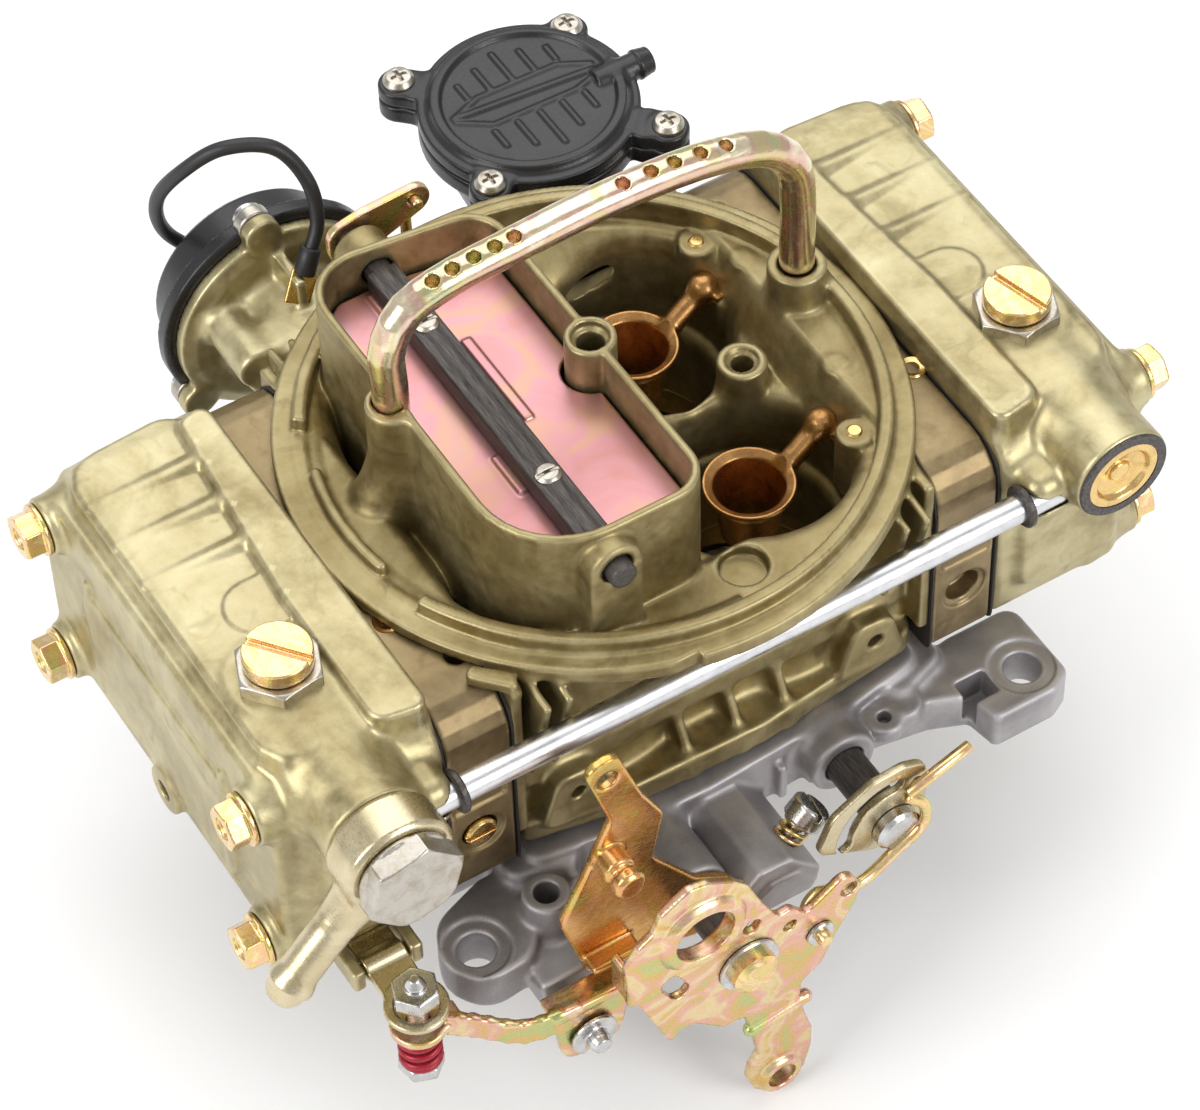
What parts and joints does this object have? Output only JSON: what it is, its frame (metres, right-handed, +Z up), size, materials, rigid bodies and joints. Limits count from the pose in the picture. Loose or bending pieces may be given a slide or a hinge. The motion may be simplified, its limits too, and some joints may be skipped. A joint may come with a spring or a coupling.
{
  "type": "carburetor",
  "caption": "Four-barrel downdraft carburetor with square-bore base, end-hung fuel bowls, choke tower, vacuum secondary diaphragm, electric choke and side throttle linkage.",
  "frame": {"origin": "centre of the four mounting studs on the base flange's bottom face", "axes": "+X towards the secondary (rear) fuel bowl, -Y towards the throttle linkage, +Y towards the choke and the vacuum diaphragm, +Z up out of the air horn"},
  "size_m": [0.2419, 0.2225, 0.1858],
  "materials": {
    "gold_cast": "gold chromated die casting, fine grain",
    "gray_cast": "bare die casting, coarse grain",
    "gasket": "dark composition sheet",
    "booster_brass": "satin copper brass",
    "throttle_plate_brass": "satin brass sheet",
    "iridescent_zinc": "pink and gold iridescent plated sheet",
    "dark_steel": "dark phosphated steel",
    "black_plastic": "moulded, semi gloss",
    "wire_cover": "black insulation",
    "zinc_steel": "bright zinc plated",
    "bare_aluminium": "drawn tube, fine scratches",
    "brass": "turned brass",
    "float_brass": "thin drawn sheet",
    "yellow_zinc": "yellow chromated plating with pink and green tints"
  },
  "bodies": {
    "carburetor_body": {"throttle_body": "gray_cast", "base_gasket": "gasket", "main_body": "gold_cast", "primary_metering_block": "gold_cast", "primary_block_gasket": "gasket", "primary_bowl_gasket": "gasket", "primary_bowl": "gold_cast", "primary_inlet_nut": "zinc_steel", "primary_lock_screw": "yellow_zinc", "primary_booster_left": "booster_brass", "primary_booster_right": "booster_brass", "primary_bowl_screw_lower_left": "yellow_zinc", "primary_bowl_screw_lower_right": "yellow_zinc", "primary_bowl_screw_upper_left": "yellow_zinc", "primary_bowl_screw_upper_right": "yellow_zinc", "secondary_metering_block": "gold_cast", "secondary_block_gasket": "gasket", "secondary_bowl_gasket": "gasket", "secondary_bowl": "gold_cast", "secondary_inlet_nut": "zinc_steel", "secondary_lock_screw": "yellow_zinc", "secondary_booster_left": "booster_brass", "secondary_booster_right": "booster_brass", "secondary_bowl_screw_lower_left": "yellow_zinc", "secondary_bowl_screw_lower_right": "yellow_zinc", "secondary_bowl_screw_upper_left": "yellow_zinc", "secondary_bowl_screw_upper_right": "yellow_zinc", "transfer_tube": "bare_aluminium", "inlet_banjo": "yellow_zinc", "banjo_bolt": "yellow_zinc", "secondary_inlet_plug": "brass", "vent_tube": "yellow_zinc", "choke_housing": "gold_cast", "choke_cap": "black_plastic", "choke_wire": "wire_cover", "diaphragm_housing": "black_plastic", "diaphragm_cover": "black_plastic", "idle_screw": "zinc_steel", "pump_pin": "zinc_steel", "pump_cover": "gold_cast"},
    "choke_valve": {"choke_shaft": "dark_steel", "choke_plate": "iridescent_zinc", "choke_lever": "iridescent_zinc"},
    "choke_link": {"choke_rod": "yellow_zinc"},
    "primary_throttle": {"primary_throttle_shaft": "dark_steel", "primary_plate_left": "throttle_plate_brass", "primary_plate_right": "throttle_plate_brass", "throttle_lever": "yellow_zinc"},
    "secondary_throttle": {"secondary_throttle_shaft": "dark_steel", "secondary_plate_left": "throttle_plate_brass", "secondary_plate_right": "throttle_plate_brass", "secondary_lever": "yellow_zinc"},
    "diaphragm_stem": {"diaphragm_rod": "zinc_steel"},
    "link": {"throttle_link": "yellow_zinc"},
    "kickdown": {"kickdown_lever": "yellow_zinc"},
    "pump_linkage": {"pump_arm": "yellow_zinc", "pump_bolt": "zinc_steel"},
    "pump_diaphragm_lever": {"pump_lever": "yellow_zinc"},
    "primary_float_arm": {"primary_float": "float_brass"},
    "secondary_float_arm": {"secondary_float": "float_brass"}
  },
  "joints": [
    {"name": "choke_hinge", "type": "hinge", "parent": "carburetor_body", "child": "choke_valve", "pos_m": [-0.0255, 0, 0.096], "axis": [0, 1, 0], "range_deg": [0, 75]},
    {"name": "choke_link_pivot", "type": "hinge", "parent": "choke_valve", "child": "choke_link", "pos_m": [-0.01, 0.0605, 0.1], "axis": [0, 1, 0], "range_deg": [-75, 0]},
    {"name": "primary_throttle_hinge", "type": "hinge", "parent": "carburetor_body", "child": "primary_throttle", "pos_m": [-0.0235, 0, 0.009], "axis": [0, 1, 0], "range_deg": [0, 75], "stiffness_Nm_per_rad": 0.05, "springref_deg": -20.05},
    {"name": "link_pivot", "type": "hinge", "parent": "primary_throttle", "child": "link", "pos_m": [-0.0051, -0.098, 0.0065], "axis": [0, 1, 0], "range_deg": [-75, 0]},
    {"name": "secondary_throttle_hinge", "type": "hinge", "parent": "carburetor_body", "child": "secondary_throttle", "pos_m": [0.0235, 0, 0.009], "axis": [0, 1, 0], "range_deg": [-75, 0], "stiffness_Nm_per_rad": 0.05, "springref_deg": 20.05},
    {"name": "diaphragm_slide", "type": "slide", "parent": "carburetor_body", "child": "diaphragm_stem", "axis": [0, 0, 1], "range_m": [0, 0.02]},
    {"name": "kickdown_hinge", "type": "hinge", "parent": "carburetor_body", "child": "kickdown", "pos_m": [-0.0235, 0, 0.009], "axis": [0, 1, 0], "range_deg": [0, 40]},
    {"name": "pump_arm_hinge", "type": "hinge", "parent": "carburetor_body", "child": "pump_linkage", "pos_m": [-0.057, 0, -0.003], "axis": [0, 1, 0], "range_deg": [-4, 0]},
    {"name": "pump_lever_hinge", "type": "hinge", "parent": "carburetor_body", "child": "pump_diaphragm_lever", "pos_m": [-0.09, -0.0575, 0.0112], "axis": [1, 0, 0], "range_deg": [0, 6]},
    {"name": "primary_float_hinge", "type": "hinge", "parent": "carburetor_body", "child": "primary_float_arm", "pos_m": [-0.087, -0.034, 0.0515], "axis": [1, 0, 0], "range_deg": [-8, 5]},
    {"name": "secondary_float_hinge", "type": "hinge", "parent": "carburetor_body", "child": "secondary_float_arm", "pos_m": [0.087, -0.034, 0.0515], "axis": [1, 0, 0], "range_deg": [-8, 5]}
  ],
  "couplings": [
    {"joint": "choke_link_pivot", "follows": "choke_hinge", "ratio": -1},
    {"joint": "link_pivot", "follows": "primary_throttle_hinge", "ratio": -1},
    {"joint": "pump_arm_hinge", "follows": "primary_throttle_hinge", "ratio": -0.0533},
    {"joint": "pump_lever_hinge", "follows": "primary_throttle_hinge", "ratio": 0.0799},
    {"joint": "diaphragm_slide", "follows": "secondary_throttle_hinge", "m_per_rad": -0.0152}
  ]
}
